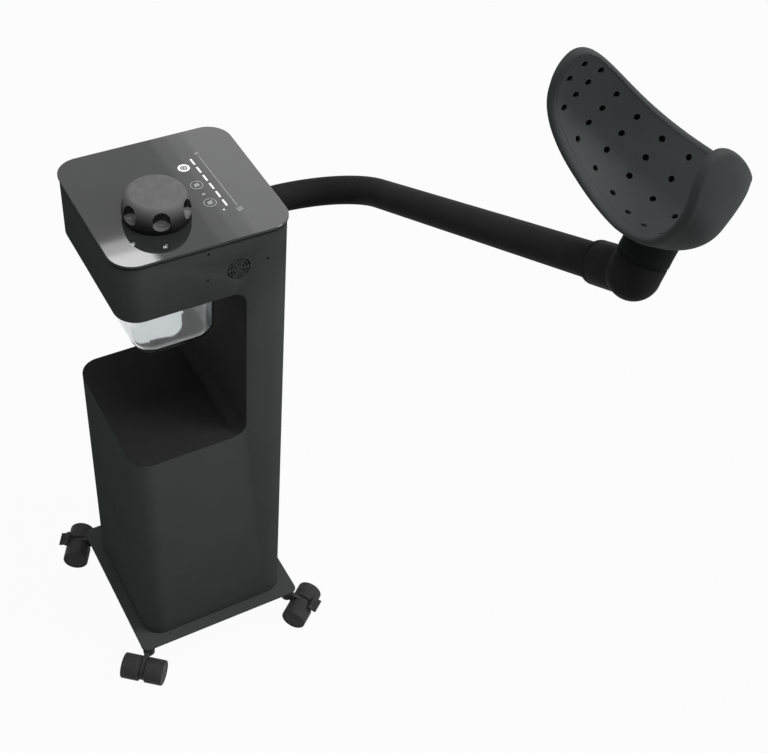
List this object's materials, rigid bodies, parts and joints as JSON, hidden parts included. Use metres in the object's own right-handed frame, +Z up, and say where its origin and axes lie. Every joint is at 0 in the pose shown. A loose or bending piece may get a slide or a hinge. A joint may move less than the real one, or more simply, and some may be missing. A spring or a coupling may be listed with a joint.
{
  "type": "hair steamer",
  "caption": "Salon hair steamer on castors: charcoal cabinet with a clear water tank, glass control top, swinging tube arm and perforated hood.",
  "frame": {"origin": "point on the floor under the middle of the cabinet's base plate", "axes": "+Z up, +X towards the side with the fan grille, -Y towards the front where the tank shows"},
  "size_m": [0.9616, 0.5636, 1.4314],
  "materials": {
    "casing_paint": "matt charcoal powder coat",
    "black_sheet": "matt black paint",
    "mat_rubber": "flat black",
    "control_glass": "back-painted black, polished",
    "tank_clear": "clear moulding, slightly grey",
    "cap_plastic": "satin dark grey",
    "tube_paint": "matt near-black",
    "hood_plastic": "satin charcoal",
    "castor_plastic": "moulded, fine grain",
    "axle_steel": "plain turned",
    "inner_plastic": "moulded",
    "hose_rubber": "translucent grey silicone",
    "board_green": "lacquered board",
    "heater_brass": "plain"
  },
  "bodies": {
    "cabinet": {"arm_bush": "hose_rubber", "arm_socket": "inner_plastic", "back_panel": "casing_paint", "base_plate": "casing_paint", "boiler": "axle_steel", "boiler_heater": "heater_brass", "control_board": "board_green", "fan_frame": "inner_plastic", "feed_hose": "hose_rubber", "filler_neck": "inner_plastic", "glass_top": "control_glass", "left_side_shell": "casing_paint", "power_board": "board_green", "power_inlet": "inner_plastic", "pump_pipe": "hose_rubber", "recess_liner": "black_sheet", "right_side_shell": "casing_paint", "shelf_mat": "mat_rubber", "steam_hose": "hose_rubber", "tank_lid": "inner_plastic", "tank_outlet": "inner_plastic", "top_frame": "mat_rubber", "water_pump": "inner_plastic", "water_tank": "tank_clear", "back_left_castor_stem": "castor_plastic", "back_right_castor_stem": "castor_plastic", "front_left_castor_stem": "castor_plastic", "front_right_castor_stem": "castor_plastic"},
    "arm": {"arm_tube": "tube_paint", "tube_collar": "tube_paint"},
    "elbow": {"elbow": "tube_paint", "neck_seal": "mat_rubber"},
    "hood": {"hood_shell": "hood_plastic", "hood_liner": "hood_plastic"},
    "cap": {"filler_cap": "cap_plastic", "cap_seal": "hose_rubber"},
    "fan": {"fan_rotor": "inner_plastic"},
    "front_right_swivel": {"front_right_castor_housing": "castor_plastic", "front_right_castor_axle": "axle_steel"},
    "front_right_wheel_1": {"front_right_wheel_1": "castor_plastic"},
    "front_right_wheel_2": {"front_right_wheel_2": "castor_plastic"},
    "back_right_swivel": {"back_right_castor_housing": "castor_plastic", "back_right_castor_axle": "axle_steel"},
    "back_right_wheel_1": {"back_right_wheel_1": "castor_plastic"},
    "back_right_wheel_2": {"back_right_wheel_2": "castor_plastic"},
    "back_right_pedal": {"back_right_brake_pedal": "castor_plastic"},
    "front_left_swivel": {"front_left_castor_housing": "castor_plastic", "front_left_castor_axle": "axle_steel"},
    "front_left_wheel_1": {"front_left_wheel_1": "castor_plastic"},
    "front_left_wheel_2": {"front_left_wheel_2": "castor_plastic"},
    "front_left_pedal": {"front_left_brake_pedal": "castor_plastic"},
    "back_left_swivel": {"back_left_castor_housing": "castor_plastic", "back_left_castor_axle": "axle_steel"},
    "back_left_wheel_1": {"back_left_wheel_1": "castor_plastic"},
    "back_left_wheel_2": {"back_left_wheel_2": "castor_plastic"}
  },
  "joints": [
    {"name": "arm_swing", "type": "hinge", "parent": "cabinet", "child": "arm", "pos_m": [0, 0.1335, 0.8684], "axis": [0, -1, 0], "range_deg": [-26.6, 60]},
    {"name": "elbow_turn", "type": "hinge", "parent": "arm", "child": "elbow", "pos_m": [0.65307, 0.2768, 1.19615], "axis": [0.8938, 0, 0.4485], "range_deg": [-60, 45]},
    {"name": "hood_turn", "type": "hinge", "parent": "elbow", "child": "hood", "pos_m": [0.65307, 0.2768, 1.19615], "axis": [-0.0668, 0.3835, 0.9211], "range_deg": [-90, 90]},
    {"name": "cap_turn", "type": "hinge", "parent": "cabinet", "child": "cap", "pos_m": [0.037, -0.039, 0.932], "axis": [0, 0, 1], "range_deg": [0, 36]},
    {"name": "fan_spin", "type": "hinge", "parent": "cabinet", "child": "fan", "pos_m": [0.1177, 0.045, 0.8736], "axis": [1, 0, 0], "continuous": true},
    {"name": "front_right_swivel_turn", "type": "hinge", "parent": "cabinet", "child": "front_right_swivel", "pos_m": [0.1365, -0.1385, 0.05], "axis": [0, 0, 1], "continuous": true},
    {"name": "front_right_wheel_1_roll", "type": "hinge", "parent": "front_right_swivel", "child": "front_right_wheel_1", "pos_m": [0.16025, -0.15843, 0.023], "axis": [0.6428, 0.766, 0], "continuous": true},
    {"name": "front_right_wheel_2_roll", "type": "hinge", "parent": "front_right_swivel", "child": "front_right_wheel_2", "pos_m": [0.16025, -0.15843, 0.023], "axis": [0.6428, 0.766, 0], "continuous": true},
    {"name": "back_right_swivel_turn", "type": "hinge", "parent": "cabinet", "child": "back_right_swivel", "pos_m": [0.1365, 0.1385, 0.05], "axis": [0, 0, 1], "continuous": true},
    {"name": "back_right_wheel_1_roll", "type": "hinge", "parent": "back_right_swivel", "child": "back_right_wheel_1", "pos_m": [0.16093, 0.15759, 0.023], "axis": [-0.6157, 0.788, 0], "continuous": true},
    {"name": "back_right_wheel_2_roll", "type": "hinge", "parent": "back_right_swivel", "child": "back_right_wheel_2", "pos_m": [0.16093, 0.15759, 0.023], "axis": [-0.6157, 0.788, 0], "continuous": true},
    {"name": "back_right_pedal_press", "type": "hinge", "parent": "back_right_swivel", "child": "back_right_pedal", "pos_m": [0.17748, 0.17051, 0.041], "axis": [-0.6157, 0.788, 0], "range_deg": [0, 16]},
    {"name": "front_left_swivel_turn", "type": "hinge", "parent": "cabinet", "child": "front_left_swivel", "pos_m": [-0.1365, -0.1385, 0.05], "axis": [0, 0, 1], "continuous": true},
    {"name": "front_left_wheel_1_roll", "type": "hinge", "parent": "front_left_swivel", "child": "front_left_wheel_1", "pos_m": [-0.15247, -0.16507, 0.023], "axis": [0.8572, -0.515, 0], "continuous": true},
    {"name": "front_left_wheel_2_roll", "type": "hinge", "parent": "front_left_swivel", "child": "front_left_wheel_2", "pos_m": [-0.15247, -0.16507, 0.023], "axis": [0.8572, -0.515, 0], "continuous": true},
    {"name": "front_left_pedal_press", "type": "hinge", "parent": "front_left_swivel", "child": "front_left_pedal", "pos_m": [-0.16328, -0.18307, 0.041], "axis": [0.8572, -0.515, 0], "range_deg": [0, 16]},
    {"name": "back_left_swivel_turn", "type": "hinge", "parent": "cabinet", "child": "back_left_swivel", "pos_m": [-0.1365, 0.1385, 0.05], "axis": [0, 0, 1], "continuous": true},
    {"name": "back_left_wheel_1_roll", "type": "hinge", "parent": "back_left_swivel", "child": "back_left_wheel_1", "pos_m": [-0.16025, 0.15843, 0.023], "axis": [-0.6428, -0.766, 0], "continuous": true},
    {"name": "back_left_wheel_2_roll", "type": "hinge", "parent": "back_left_swivel", "child": "back_left_wheel_2", "pos_m": [-0.16025, 0.15843, 0.023], "axis": [-0.6428, -0.766, 0], "continuous": true}
  ]
}
